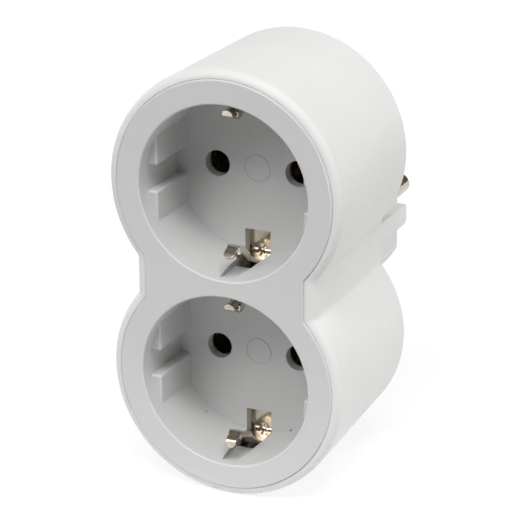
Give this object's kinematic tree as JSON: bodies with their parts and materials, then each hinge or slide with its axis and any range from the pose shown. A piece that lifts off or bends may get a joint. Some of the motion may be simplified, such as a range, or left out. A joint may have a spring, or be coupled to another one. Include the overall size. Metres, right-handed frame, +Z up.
{
  "type": "multi socket adapter",
  "caption": "Plug-in wall socket adapter: round earthed wells stacked in a waisted housing, with a round earthed plug nose and pins behind.",
  "frame": {"origin": "middle of the plug nose's end face, between the two pins", "axes": "+Y along the plug pins into the wall, +Z up through both sockets, +X to the right seen from the sockets"},
  "size_m": [0.0538, 0.0801, 0.0966],
  "materials": {
    "white_plastic": "satin",
    "grey_plastic": "satin",
    "nickel": "nickel plated",
    "brass": "plain",
    "steel": "zinc plated"
  },
  "bodies": {
    "root": {"rear_housing": "white_plastic", "socket_cover": "grey_plastic", "earth_spring_upper": "nickel", "earth_spring_lower": "nickel", "plug_pin_left": "nickel", "plug_pin_right": "nickel", "plug_earth_bracket": "nickel", "plug_earth_socket": "brass", "earth_bar": "brass", "contact_bar_left": "brass", "contact_bar_right": "brass", "pin_contact_upper_left": "brass", "pin_contact_upper_right": "brass", "pin_contact_lower_left": "brass", "pin_contact_lower_right": "brass", "contact_rivets": "steel", "earth_rivets": "steel", "housing_screws": "steel"}
  },
  "joints": []
}
